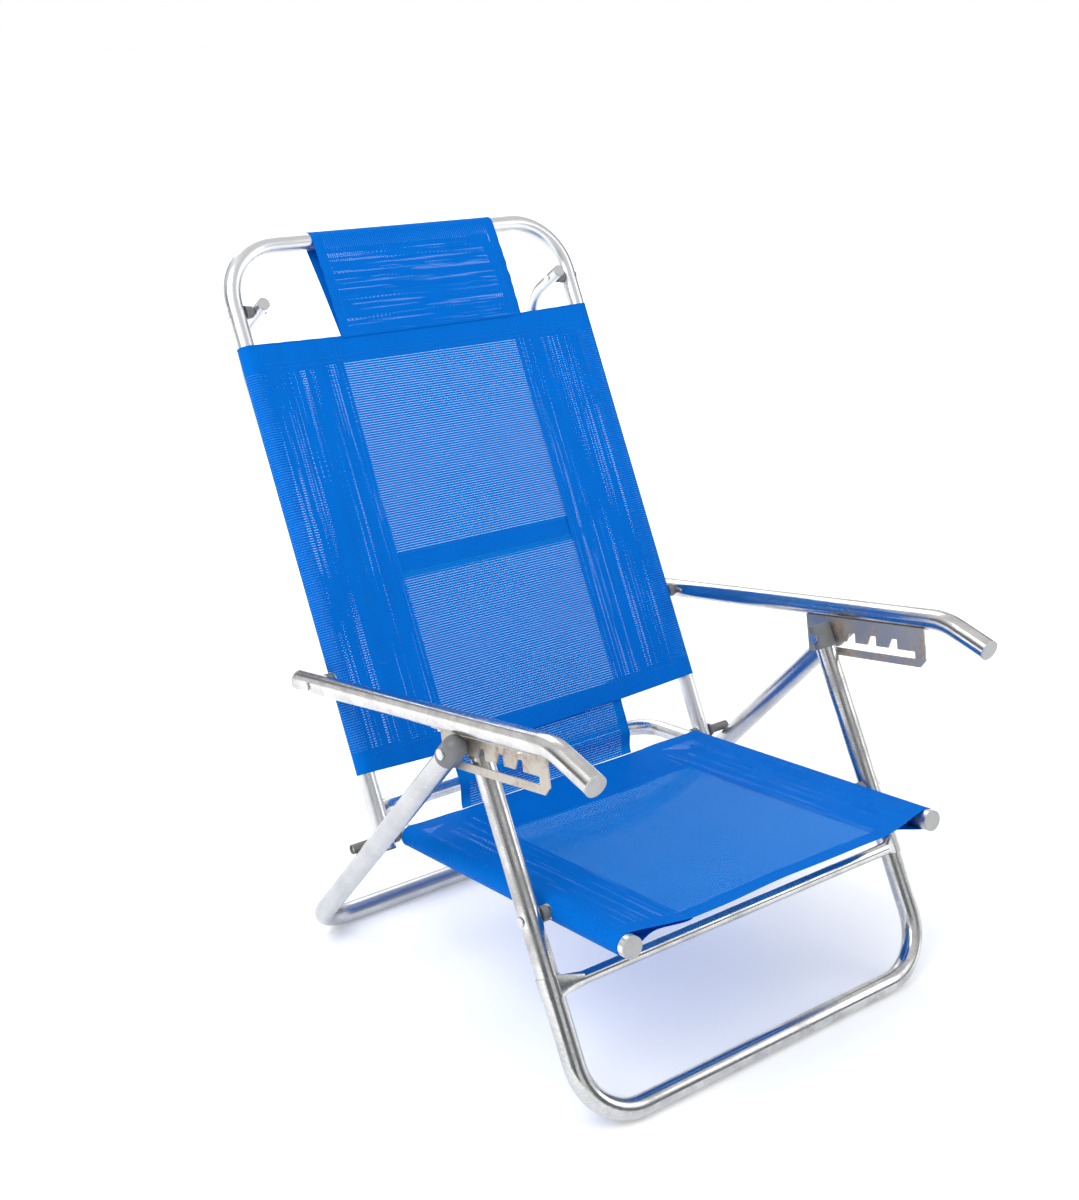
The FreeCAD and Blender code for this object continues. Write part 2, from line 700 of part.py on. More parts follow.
def make_rail():
    """A bow behind the back: a flat U, with an arm on each side hooked forwards to its pivot."""
    body = new_body("rear_rail", RAIL_PIVOT, RAIL_UP)
    plane = "0 - rail_lead * sin(hook_turn) - hook_radius * (1 - cos(hook_turn))"
    top = "0 - rail_lead * cos(hook_turn) - hook_radius * sin(hook_turn)"
    bar = f"{top} - rail_arm"
    path = u_path(body, "bow_path", "rail_half", bar, top, "rail_bend", plane)
    bow_end = f"0 - ({top})"
    section = tube_section(body, "bow_section", "0 - rail_half", "rail_radius", bow_end, y=plane)
    swept_tube(body, "bow", path, section)
    hook = new_sketch(body, "hook_path", "YZ_Plane", "rail_half")
    turn = math.radians(SIZES["hook_turn"])
    lead, radius = SIZES["rail_lead"], SIZES["hook_radius"]
    into = FreeCAD.Vector(-math.cos(turn), -math.sin(turn), 0)
    bend_start = into * lead
    centre = bend_start + FreeCAD.Vector(-math.sin(turn), math.cos(turn), 0) * radius
    circle = Part.Circle(centre, FreeCAD.Vector(0, 0, 1), radius)
    front = into * -SIZES["rail_tail"]
    hook.addGeometry([
        Part.LineSegment(front, bend_start),
        Part.ArcOfCircle(circle, 1.5 * math.pi, 1.5 * math.pi + turn),
    ], False)
    hook.addConstraint(Sketcher.Constraint("Tangent", 0, 2, 1, 2))
    fix_point(hook, "front", 0, 1, "rail_tail * cos(hook_turn)", "rail_tail * sin(hook_turn)")
    fix_point(hook, "bow_end", 1, 1, top, plane)
    bind(hook, "hook_radius", Sketcher.Constraint("Radius", 1, radius), "hook_radius")
    join = tube_section(body, "join_section", "rail_half", "rail_radius", bow_end, y=plane)
    arm = body.newObject("PartDesign::AdditivePipe", "hook")
    arm.Profile = join
    arm.Spine = (hook, ["Edge2", "Edge1"])
    doc.recompute()
    mirrored(body, arm, "other_hook")
    cross_hole(body, "pivot_hole", "0", "rail_bolt_radius + running_gap")
    centres = [f"{sign} * rail_half" for sign in SIDES.values()]
    plug("rail_end_plugs", RAIL_END, RAIL_END_OUT, centres, "rail_radius")


# -------------------------------------------------------------------------------------------- armrests


def make_armrest(side, sign):
    x = f"{sign} * arm_half"
    tube = new_body(f"armrest_tube_{side}", ARM_PIVOT, ARM_REARWARD)
    path = new_sketch(tube, f"arm_{side}_path", "YZ_Plane", x)
    straight, radius, tip = SIZES["arm_straight"], SIZES["arm_bend"], SIZES["arm_tip"]
    turn = math.radians(SIZES["arm_turn"])
    circle = Part.Circle(FreeCAD.Vector(-straight, -radius, 0), FreeCAD.Vector(0, 0, 1), radius)
    bend_end = FreeCAD.Vector(-straight - radius * math.sin(turn), radius * (math.cos(turn) - 1), 0)
    end = bend_end + FreeCAD.Vector(-math.cos(turn), -math.sin(turn), 0) * tip
    path.addGeometry([
        Part.LineSegment(FreeCAD.Vector(SIZES["arm_tail"], 0, 0), FreeCAD.Vector(-straight, 0, 0)),
        Part.ArcOfCircle(circle, 0.5 * math.pi, 0.5 * math.pi + turn),
        Part.LineSegment(bend_end, end),
    ], False)
    path.addConstraint(Sketcher.Constraint("Tangent", 0, 2, 1, 1))
    path.addConstraint(Sketcher.Constraint("Tangent", 1, 2, 2, 1))
    fix_point(path, "rear_end", 0, 1, "arm_tail", "0")
    fix_point(path, "bend_start", 0, 2, "0 - arm_straight", "0")
    tip_y = "0 - arm_straight - arm_bend * sin(arm_turn) - arm_tip * cos(arm_turn)"
    tip_z = "arm_bend * (cos(arm_turn) - 1) - arm_tip * sin(arm_turn)"
    fix_point(path, "tip", 2, 2, tip_y, tip_z)
    bind(path, "arm_bend", Sketcher.Constraint("Radius", 1, radius), "arm_bend")
    section = tube_section(tube, f"arm_{side}_section", x, "tube_radius", "0 - arm_tail")
    swept_tube(tube, f"arm_{side}_tube", path, section)
    cross_hole(tube, f"arm_{side}_bolt_hole", "0", "bolt_radius + running_gap")
    cut_rivet_holes(tube, side, x)
    plug(f"armrest_front_plug_{side}", ARM_TIP, ARM_TIP_OUT, [x], "tube_radius")
    plug(f"armrest_rear_plug_{side}", ARM_PIVOT, ARM_REARWARD, [x], "tube_radius", start="arm_tail")
    make_notch_plate(side, sign, x)
    make_plate_rivets(side, x)
    frame_skin = "back_half + slim_tube_radius + side_gap"
    arm_skin = "arm_half - tube_radius - side_gap"
    bore = "bolt_radius + running_gap"
    spacer = ring(frame_skin, arm_skin, "spacer_radius", bore)
    turned(f"armrest_spacer_{side}", ARM_PIVOT, spacer, sides=(sign,))
    inner_end = "back_half - slim_tube_radius + side_gap"
    outer_end = "arm_half + tube_radius + side_gap"
    bolt = headed(inner_end, outer_end, "bolt_radius", head_outside=True)
    turned(f"armrest_bolt_{side}", ARM_PIVOT, bolt, sides=(sign,))


def rivet_spots(x):
    return [(x, f"0 - plate_rivet_{end}") for end in ("front", "rear")]


def cut_rivet_holes(body, side, x):
    """Holes in the underside of the tube for the plate's rivets."""
    holes = new_sketch(body, f"arm_{side}_rivet_holes", "XY_Plane")
    radius = "plate_rivet_radius + running_gap"
    add_circles(holes, [(across, along, radius) for across, along in rivet_spots(x)])
    cut(body, holes, f"arm_{side}_rivet_cut", "2 * tube_radius")


def make_notch_plate(side, sign, x):
    """A steel plate under the armrest: flange along the tube, channel and notches for the pin."""
    body = new_body(f"notch_plate_{side}", ARM_PIVOT, ARM_REARWARD)
    low = "0 - plate_bottom"
    web = new_sketch(body, f"plate_{side}_outline", "YZ_Plane", f"{sign} * plate_lane")
    corners = [
        ("0 - plate_front", "0 - plate_top"),
        ("0 - plate_front", f"{low} + plate_corner"),
        ("0 - plate_front + plate_corner", low),
        ("0 - plate_rear", low),
        ("0 - plate_rear", "0 - plate_top"),
    ]
    add_outline(web, corners)
    pad(body, web, f"plate_{side}_web", "plate_wall", both_ways=True)
    flange = new_sketch(body, f"plate_{side}_flange_section", "XZ_Plane", "plate_front")
    inner = "tube_radius + cap_fit"
    add_circles(flange, [(x, "0", f"{inner} + flange_wall"), (x, "0", inner)])
    pad(body, flange, f"plate_{side}_flange", "plate_front - plate_rear", backwards=True)
    trim = new_sketch(body, f"plate_{side}_trim_sketch", "XZ_Plane", "plate_front")
    lane = f"{sign} * (plate_lane - plate_wall / 2)"
    wide = f"{sign} * (arm_half + 2 * tube_radius)"
    stop = f"{sign} * (arm_half + flange_out)"
    narrow = f"{sign} * (arm_half - 2 * tube_radius)"
    high = "2 * tube_radius"
    corners = [
        (narrow, high), (wide, high), (wide, f"0 - {high}"), (stop, f"0 - {high}"),
        (stop, "0 - plate_top"), (lane, "0 - plate_top"), (lane, f"0 - {high}"),
        (narrow, f"0 - {high}"),
    ]
    add_outline(trim, corners)
    cut(body, trim, f"plate_{side}_trim", "plate_front - plate_rear")
    slot = new_sketch(body, f"plate_{side}_channel_sketch", "YZ_Plane")
    add_outline(slot, channel_corners())
    cut(body, slot, f"plate_{side}_channel")
    holes = new_sketch(body, f"plate_{side}_rivet_holes", "XY_Plane")
    radius = "plate_rivet_radius + running_gap"
    add_circles(holes, [(across, along, radius) for across, along in rivet_spots(x)])
    cut(body, holes, f"plate_{side}_rivet_cut", "2 * tube_radius")


def channel_corners():
    """The channel, with four notches above it whose rear sides slant."""
    corners = [("0 - channel_rear", "0 - channel_low"), ("0 - channel_front", "0 - channel_low")]
    corners.append(("0 - channel_front", "0 - channel_high"))
    for notch in (3, 2, 1, 0):
        front = f"0 - notch_front - {notch} * notch_pitch"
        corners += [
            (front, "0 - channel_high"),
            (front, "0 - notch_top"),
            (f"{front} + notch_width", "0 - notch_top"),
            (f"{front} + notch_width + notch_slant", "0 - channel_high"),
        ]
    corners.append(("0 - channel_rear", "0 - channel_high"))
    return corners


def make_plate_rivets(side, x):
    """Two rivets that hold the plate's flange to the tube, with their heads below."""
    body = new_body(f"plate_rivets_{side}", ARM_PIVOT, ARM_REARWARD)
    flange_face = "tube_radius + cap_fit + flange_wall"
    head_face = f"0 - ({flange_face}) - running_gap"
    shank = new_sketch(body, f"rivets_{side}_shank_sketch", "XY_Plane", head_face)
    add_circles(shank, [(across, along, "plate_rivet_radius") for across, along in rivet_spots(x)])
    pad(body, shank, f"rivets_{side}_shanks", "flange_wall + tube_wall + cap_fit + side_gap")
    head = new_sketch(body, f"rivets_{side}_head_sketch", "XY_Plane", head_face)
    heads = [(across, along, "plate_rivet_radius + cap_wall") for across, along in rivet_spots(x)]
    add_circles(head, heads)
    pad(body, head, f"rivets_{side}_heads", "head_height", backwards=True)


# ---------------------------------------------------------------------------------------------- output


def main():
    make_front_legs()
    make_rear_legs()
    make_seat()
    make_back_pivot()
    make_back()
    make_rail()
    for side, sign in SIDES.items():
        make_armrest(side, sign)
    doc.recompute()
    for item in doc.Objects:
        if "Invalid" in item.State or "Error" in item.State:
            raise RuntimeError(f"{item.Label} did not build: {item.State}")
    os.makedirs("parts", exist_ok=True)
    for body in sub_parts:
        if body.Shape.isNull() or not body.Shape.isValid():
            raise RuntimeError(f"{body.Label} has no valid shape")
        body.Shape.exportStep(f"parts/{body.Label}.step")
        print(f"{body.Label}: {len(body.Shape.Solids)} solid(s), {body.Shape.Volume:.0f} mm3")


main()
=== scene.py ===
"""Looks of the folding beach chair: slings of woven mesh, worn aluminium, plastic caps, studio."""

import json
import math

import bpy
from mathutils import Matrix, Vector


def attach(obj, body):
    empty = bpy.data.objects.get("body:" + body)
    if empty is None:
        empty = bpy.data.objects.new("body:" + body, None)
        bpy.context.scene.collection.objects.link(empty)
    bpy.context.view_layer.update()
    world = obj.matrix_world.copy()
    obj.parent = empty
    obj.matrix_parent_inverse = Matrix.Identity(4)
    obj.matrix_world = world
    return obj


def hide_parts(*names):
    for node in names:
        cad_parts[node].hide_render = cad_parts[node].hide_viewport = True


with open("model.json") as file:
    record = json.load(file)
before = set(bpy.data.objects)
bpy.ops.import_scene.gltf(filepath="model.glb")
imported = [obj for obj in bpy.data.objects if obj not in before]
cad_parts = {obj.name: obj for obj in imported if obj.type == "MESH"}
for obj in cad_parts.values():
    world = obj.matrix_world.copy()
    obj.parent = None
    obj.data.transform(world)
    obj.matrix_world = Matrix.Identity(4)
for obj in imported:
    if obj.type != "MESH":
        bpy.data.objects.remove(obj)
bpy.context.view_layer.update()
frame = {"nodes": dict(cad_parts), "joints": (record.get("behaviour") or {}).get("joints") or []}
nodes = frame["nodes"]
scene = bpy.context.scene

MM = 0.001


# ------------------------------------------------------------------------------ frames of the chair


def pivot(name):
    joint = next(joint for joint in frame["joints"] if joint["name"] == name)
    return Vector(joint["pos_m"])


class Plane:
    """A frame on the chair's middle plane: X across, v along, w off the sitter's side, in mm."""

    def __init__(self, origin, towards, side):
        self.origin = origin
        self.along = (towards - origin).normalized()
        self.off = Vector((side, 0, 0)).cross(self.along)

    def at(self, x, v, w):
        return self.origin + Vector((x * MM, 0, 0)) + self.along * v * MM + self.off * w * MM


SEAT_PIVOT = pivot("front_leg_fold")
BACK_PIVOT = pivot("fold")
back_plane = Plane(BACK_PIVOT, pivot("arm_fold_left"), 1)
seat_plane = Plane(SEAT_PIVOT, SEAT_PIVOT * 2 - BACK_PIVOT, -1)


# ---------------------------------------------------------------------------------------- materials


class Nodes:
    """Makes and links the nodes of one tree."""

    def __init__(self, tree):
        self.tree = tree

    def feed(self, socket, value):
        if isinstance(value, bpy.types.NodeSocket):
            self.tree.links.new(value, socket)
        else:
            socket.default_value = value

    def node(self, kind, **inputs):
        """A node, with its inputs given by name: numbers, or outputs to link."""
        made = self.tree.nodes.new(kind)
        for name, value in inputs.items():
            self.feed(made.inputs[name.replace("_", " ")], value)
        return made

    def math(self, operation, *values):
        made = self.tree.nodes.new("ShaderNodeMath")
        made.operation = operation
        for socket, value in zip(made.inputs, values):
            self.feed(socket, value)
        return made.outputs[0]

    def place(self, scale=(1, 1, 1), turn=(0, 0, 0), source="Object"):
        where = self.node("ShaderNodeTexCoord").outputs[source]
        mapping = self.node("ShaderNodeMapping", Vector=where, Scale=scale, Rotation=turn)
        return mapping.outputs[0]

    def noise(self, where, scale, detail=4.0, rough=0.55):
        made = self.node("ShaderNodeTexNoise", Vector=where, Scale=scale, Detail=detail)
        made.inputs["Roughness"].default_value = rough
        return made.outputs[0]

    def span(self, value, low, high, new_low, new_high):
        """Maps a range onto another, clamped."""
        made = self.node("ShaderNodeMapRange", Value=value)
        limits = {"From Min": low, "From Max": high, "To Min": new_low, "To Max": new_high}
        for name, number in limits.items():
            made.inputs[name].default_value = number
        return made.outputs[0]

    def mix(self, share, first, second):
        made = self.tree.nodes.new("ShaderNodeMix")
        made.data_type = "RGBA"
        factor, colour_a, colour_b = made.inputs[0], made.inputs[6], made.inputs[7]
        for socket, value in ((factor, share), (colour_a, first), (colour_b, second)):
            self.feed(socket, value)
        return made.outputs[2]


class Finish(Nodes):
    """A node material round one Principled shader."""

    def __init__(self, name, colour, roughness, metallic=0.0, specular=0.5):
        self.material = bpy.data.materials.new(name)
        self.material.use_nodes = True
        super().__init__(self.material.node_tree)
        self.shader = self.tree.nodes["Principled BSDF"]
        self.set("Base Color", (*colour, 1))
        self.set("Roughness", roughness)
        self.set("Metallic", metallic)
        self.set("Specular IOR Level", specular)
        self.material.diffuse_color = (*colour, 1)

    def set(self, socket, value):
        self.shader.inputs[socket].default_value = value

    def link(self, output, socket):
        self.tree.links.new(output, self.shader.inputs[socket])

    def bump(self, height, strength, distance):
        made = self.node("ShaderNodeBump", Height=height, Strength=strength, Distance=distance)
        self.link(made.outputs[0], "Normal")


def aluminium(name, tint, smooth, rough, turn, stain=0.35):
    """Tube that has seen a few summers: fine drawn lines, dull clouds, small scratches."""
    made = Finish(name, tint, smooth, metallic=1.0)
    fine = made.noise(made.place((420, 5, 420), (turn, 0, 0)), 1.0, 3.0)
    clouds = made.noise(made.place(), 26.0, 5.0, 0.6)
    specks = made.noise(made.place((160, 40, 160), (turn, 0, 0)), 2.2, 2.0)
    scratch = made.span(specks, 0.68, 0.74, 0.0, 1.0)
    dull = made.span(clouds, 0.42, 0.68, 0.0, 1.0)
    darker = tuple(channel * (1 - stain) for channel in tint)
    worn = made.mix(made.math("MULTIPLY", dull, 0.8), (*tint, 1), (*darker, 1))
    lined = made.mix(made.span(fine, 0.35, 0.7, 0.0, 0.35), worn, (*darker, 1))
    bright = made.mix(made.math("MULTIPLY", scratch, 0.5), lined, (0.93, 0.93, 0.92, 1))
    made.link(bright, "Base Color")
    matt = made.span(clouds, 0.38, 0.7, smooth, rough)
    made.link(made.math("ADD", matt, made.math("MULTIPLY", fine, 0.08)), "Roughness")
    height = made.math("ADD", fine, made.math("MULTIPLY", scratch, -0.6))
    made.bump(height, 0.12, 0.0004)
    return made.material


def plastic(name, tint, rough):
    """Moulded plastic: faint flow marks, scuffs and a fine texture."""
    made = Finish(name, tint, rough, specular=0.4)
    flow = made.noise(made.place(), 60.0, 4.0)
    grain = made.noise(made.place(), 1400.0, 2.0)
    scuffed = tuple(min(1.0, channel * 1.25 + 0.03) for channel in tint)
    darker = tuple(channel * 0.86 for channel in tint)
    mottled = made.mix(made.span(flow, 0.35, 0.65, 0.0, 1.0), (*darker, 1), (*tint, 1))
    marked = made.mix(made.span(grain, 0.66, 0.74, 0.0, 0.6), mottled, (*scuffed, 1))
    made.link(marked, "Base Color")
    made.link(made.span(flow, 0.3, 0.7, rough - 0.08, rough + 0.12), "Roughness")
    made.bump(grain, 0.25, 0.0003)
    return made.material


def plate_steel():
    """Dull plated steel with brown rust in cloudy patches and spots."""
    tint = (0.50, 0.465, 0.41)
    made = Finish("plate_steel_look", tint, 0.42, metallic=0.75)
    clouds = made.noise(made.place(), 34.0, 6.0, 0.65)
    spots = made.noise(made.place(), 120.0, 3.0, 0.6)
    grain = made.noise(made.place(), 900.0, 2.0)
    patches = made.span(clouds, 0.47, 0.62, 0.0, 1.0)
    rust = made.math("MULTIPLY", patches, made.span(spots, 0.44, 0.62, 0.2, 1.0))
    dull = made.mix(made.span(grain, 0.3, 0.7, 0.0, 0.3), (*tint, 1), (0.40, 0.37, 0.33, 1))
    rusty = made.mix(made.math("MULTIPLY", rust, 0.75), dull, (0.30, 0.155, 0.07, 1))
    made.link(rusty, "Base Color")
    made.link(made.span(rust, 0.0, 1.0, 0.36, 0.75), "Roughness")
    made.link(made.span(rust, 0.0, 1.0, 0.8, 0.25), "Metallic")
    made.bump(made.math("ADD", grain, rust), 0.3, 0.0003)
    return made.material


BLUE = (0.0, 0.155, 0.62)
DEEP_BLUE = (0.0, 0.115, 0.53)
LIT_BLUE = (0.0, 0.18, 0.60)
PITCH_ACROSS, PITCH_ALONG = 0.0040, 0.0032
STREAK_THRESHOLD = 0.56


def mesh_cloth(name, field, openness, streaks=None):
    """Coated mesh: short dark yarns in brick order on a lighter field, with holes between them.

    The pattern follows the cloth. With streaks (across, along) its holes open only along lines.
    """
    made = Finish(name, field, 0.6, specular=0.03)
    uv = made.node("ShaderNodeUVMap").outputs[0]
    parts = made.node("ShaderNodeSeparateXYZ", Vector=uv)
    across, along = parts.outputs[0], parts.outputs[1]
    row = made.math("DIVIDE", along, PITCH_ALONG)
    shift = made.math("MULTIPLY", made.math("FLOORED_MODULO", made.math("FLOOR", row), 2.0), 0.5)
    column = made.math("ADD", made.math("DIVIDE", across, PITCH_ACROSS), shift)
    from_column = made.math("ABSOLUTE", made.math("SUBTRACT", made.math("FRACT", column), 0.5))
    from_row = made.math("ABSOLUTE", made.math("SUBTRACT", made.math("FRACT", row), 0.5))
    yarn = made.math("MULTIPLY", made.span(from_column, 0.26, 0.38, 1.0, 0.0),
                     made.span(from_row, 0.16, 0.28, 1.0, 0.0))
    if openness:
        half = 0.5 - openness / 2
        hole = made.math("MULTIPLY", made.math("GREATER_THAN", from_column, half - 0.06),
                         made.math("GREATER_THAN", from_row, half))
        if streaks:
            stretched = made.node("ShaderNodeMapping", Vector=uv, Scale=(streaks[0], streaks[1], 1))
            lines = made.noise(stretched.outputs[0], 1.0, 3.0, 0.6)
            hole = made.math("MULTIPLY", hole, made.math("GREATER_THAN", lines, STREAK_THRESHOLD))
        made.link(made.math("SUBTRACT", 1.0, hole), "Alpha")
    clouds = made.noise(uv, 22.0, 4.0)
    drawn_out = made.node("ShaderNodeMapping", Vector=uv, Scale=(1, 6, 1))
    fibre = made.noise(drawn_out.outputs[0], 160.0, 2.0)
    darker = tuple(channel * 0.88 for channel in field)
    worn = made.mix(made.span(clouds, 0.35, 0.7, 0.0, 0.6), (*field, 1), (*darker, 1))
    made.link(made.mix(yarn, worn, (*DEEP_BLUE, 1)), "Base Color")
    made.link(made.span(fibre, 0.3, 0.7, 0.5, 0.7), "Roughness")
    made.bump(made.math("ADD", yarn, made.math("MULTIPLY", fibre, 0.3)), 0.3, 0.0004)
    return made.material


def sewing_thread():
    made = Finish("sewing_thread_look", (0.02, 0.2, 0.68), 0.6, specular=0.15)
    twist = made.noise(made.place((900, 900, 900)), 1.0, 2.0)
    dark, light = (0.01, 0.16, 0.6, 1), (0.05, 0.27, 0.78, 1)
    made.link(made.mix(made.span(twist, 0.3, 0.7, 0.0, 1.0), dark, light), "Base Color")
    made.bump(twist, 0.3, 0.0002)
    return made.material


ALONG_FRONT_LEG = math.radians(-60.4)
ALONG_REAR_LEG = math.radians(-130.7)
ALONG_BACK = math.radians(-61.8)
LEG = aluminium("front_leg_aluminium", (0.66, 0.66, 0.65), 0.10, 0.28, ALONG_FRONT_LEG, 0.45)
REAR_LEG = aluminium("rear_leg_aluminium", (0.60, 0.605, 0.615), 0.24, 0.32, ALONG_REAR_LEG, 0.18)
BACK_TUBE = aluminium("back_aluminium", (0.72, 0.73, 0.74), 0.24, 0.36, ALONG_BACK, 0.12)
ARM = aluminium("armrest_aluminium", (0.74, 0.73, 0.715), 0.10, 0.24, 0.0, 0.38)
SEAT_TUBE = aluminium("seat_aluminium", (0.80, 0.80, 0.80), 0.16, 0.32, 0.0, 0.3)
RIVET = aluminium("rivet_metal", (0.74, 0.74, 0.73), 0.22, 0.4, 0.0, 0.3)
CAP = plastic("cap_plastic", (0.165, 0.17, 0.175), 0.36)
PLUG = plastic("plug_plastic", (0.42, 0.425, 0.425), 0.40)
PEG = plastic("peg_plastic", (0.16, 0.155, 0.15), 0.38)
STEEL = plate_steel()
WINDOW_MESH = mesh_cloth("blue_mesh_window", LIT_BLUE, 0.18)
SEAT_MESH = mesh_cloth("blue_mesh_seat", LIT_BLUE, 0.14)
SIDE_MESH = mesh_cloth("blue_mesh_side", BLUE, 0.22)
HEM_MESH = mesh_cloth("blue_mesh_doubled", BLUE, 0.0)
LONG_STREAKS = mesh_cloth("blue_mesh_long_streaks", BLUE, 0.70, (260.0, 2.0))
CROSS_STREAKS = mesh_cloth("blue_mesh_cross_streaks", BLUE, 0.75, (280.0, 4.0))
THREAD = sewing_thread()

NODE_LOOKS = (
    ("front_leg_frame", LEG), ("front_crossbar", LEG), ("rear_leg_frame", REAR_LEG),
    ("back_frame", BACK_TUBE), ("rear_rail", BACK_TUBE), ("armrest_tube", ARM),
    ("seat_side_tube", SEAT_TUBE), ("seat_rear_bow", SEAT_TUBE), ("notch_plate", STEEL),
    ("leg_cap", CAP), ("cones", CAP), ("leg_stop_sleeves", PEG), ("back_end_plugs", PEG),
    ("plug", PLUG), ("spacer", CAP), ("washers", CAP),
    ("pins", RIVET), ("bolt", RIVET), ("rivets", RIVET),
)
for name, node in nodes.items():
    look = next((look for word, look in NODE_LOOKS if word in name), HEM_MESH)
    node.data.materials.clear()
    node.data.materials.append(look)


# ------------------------------------------------------------------------------------------- meshes


def mesh_object(name, points, faces, materials, uvs=None, slots=None):
    mesh = bpy.data.meshes.new(name)
    mesh.from_pydata([tuple(point) for point in points], [], faces)
    for look in materials:
        mesh.materials.append(look)
    if uvs:
        layer = mesh.uv_layers.new(name="cloth")
        for loop in mesh.loops:
            layer.data[loop.index].uv = uvs[loop.vertex_index]
    mesh.polygons.foreach_set("use_smooth", [True] * len(mesh.polygons))
    if slots:
        mesh.polygons.foreach_set("material_index", slots)
    mesh.update()
    made = bpy.data.objects.new(name, mesh)
    scene.collection.objects.link(made)
    return made


def steps(low, high, size):
    """Evenly spaced numbers from low to high, about size apart."""
    count = max(1, round((high - low) / size))
    return [low + (high - low) * step / count for step in range(count + 1)]


def clamp(share):
    return min(1.0, max(0.0, share))


def ease(share):
    share = clamp(share)
    return share * share * (3 - 2 * share)


def arch(share):
    """Nought at both ends, one in the middle."""
    return math.sin(math.pi * clamp(share))


def level(v, out=0.0):
    """A straight row of cloth."""
    return lambda s: (v, out)


def patch(name, spot, columns, rows, materials, slot_of=None, hole=None):
    """A grid of cloth. A row is a function of s that gives (v, out); hole is (s, v, radius)."""
    grid = [[(s, *row(s)) for s in columns] for row in rows]
    inside = set()
    if hole:
        near = [(s, v) for line in grid for s, v, _ in line]
        for index, (s, v) in enumerate(near):
            for centre in (-hole[0], hole[0]):
                if math.hypot(s - centre, v - hole[1]) < hole[2]:
                    inside.add(index)
    width = len(columns)
    faces, slots, rim = [], [], set()
    for row in range(len(rows) - 1):
        for column in range(width - 1):
            first = row * width + column
            corners = (first, first + 1, first + width + 1, first + width)
            if inside & set(corners):
                rim |= set(corners) - inside
                continue
            faces.append(corners)
            cells = (*grid[row][column:column + 2], *grid[row + 1][column:column + 2])
            middle = sum(v for _, v, _ in cells) / 4
            s = (columns[column] + columns[column + 1]) / 2
            slots.append(slot_of(s, middle) if slot_of else 0)
    points, uvs = [], []
    for index, (s, v, out) in enumerate(cell for line in grid for cell in line):
        if index in rim:
            centre = math.copysign(hole[0], s)
            reach = math.hypot(s - centre, v - hole[1])
            s = centre + (s - centre) / reach * hole[2]
            v = hole[1] + (v - hole[1]) / reach * hole[2]
        points.append(spot(s, v, out))
        uvs.append((s * MM, v * MM))
    used = sorted({corner for face in faces for corner in face})
    fresh = {old: new for new, old in enumerate(used)}
    return mesh_object(
        name,
        [points[old] for old in used],
        [tuple(fresh[corner] for corner in face) for face in faces],
        materials,
        [uvs[old] for old in used],
        slots,
    )


def folded_edge(name, spot, columns, edge, inwards, depth, materials, gap=0.9):
    """A hem: the cloth turns round its own edge and lies behind itself as far as depth."""
    def row(back, out):
        return lambda s: (edge(s) + inwards * back, out)

    rows = [row(1.2, 0.25), row(0.3, 0.25), row(-0.5, 0.0), row(-0.7, -gap / 2), row(-0.3, -gap)]
    rows += [row(back, -gap) for back in steps(0.8, depth, 4.0)]
    return patch(name, spot, columns, rows, materials)


def stitches(name, spot, lines, pitch=4.4, length=2.9, width=0.55, out=0.35):
    """Rows of lock stitches: small raised ovals on the cloth, one after another."""
    points, faces = [], []
    for (s0, v0), (s1, v1) in lines:
        reach = math.hypot(s1 - s0, v1 - v0)
        ds, dv = (s1 - s0) / reach, (v1 - v0) / reach
        for step in range(int(reach / pitch)):
            middle = (step + 0.5) * pitch
            base = len(points)
            for back, side, height in (
                (-0.5, 0, 0.05), (-0.25, 0.5, 0.2), (-0.25, -0.5, 0.2), (0, 0.5, 0.3),
                (0, -0.5, 0.3), (0.25, 0.5, 0.2), (0.25, -0.5, 0.2), (0.5, 0, 0.05),
                (-0.2, 0, 0.55), (0.2, 0, 0.55),
            ):
                s = s0 + ds * (middle + back * length) - dv * side * width
                v = v0 + dv * (middle + back * length) + ds * side * width
                points.append(spot(s, v, out + (height - 0.3) * width))
            for face in (
                (0, 2, 8), (0, 8, 1), (1, 8, 3), (2, 4, 8), (3, 8, 9), (4, 9, 8),
                (3, 9, 5), (4, 6, 9), (5, 9, 7), (6, 7, 9), (0, 1, 3, 5, 7, 6, 4, 2),
            ):
                faces.append(tuple(base + corner for corner in face))
    return mesh_object(name, points, faces, [THREAD])


# -------------------------------------------------------------------------- cloth between two tubes


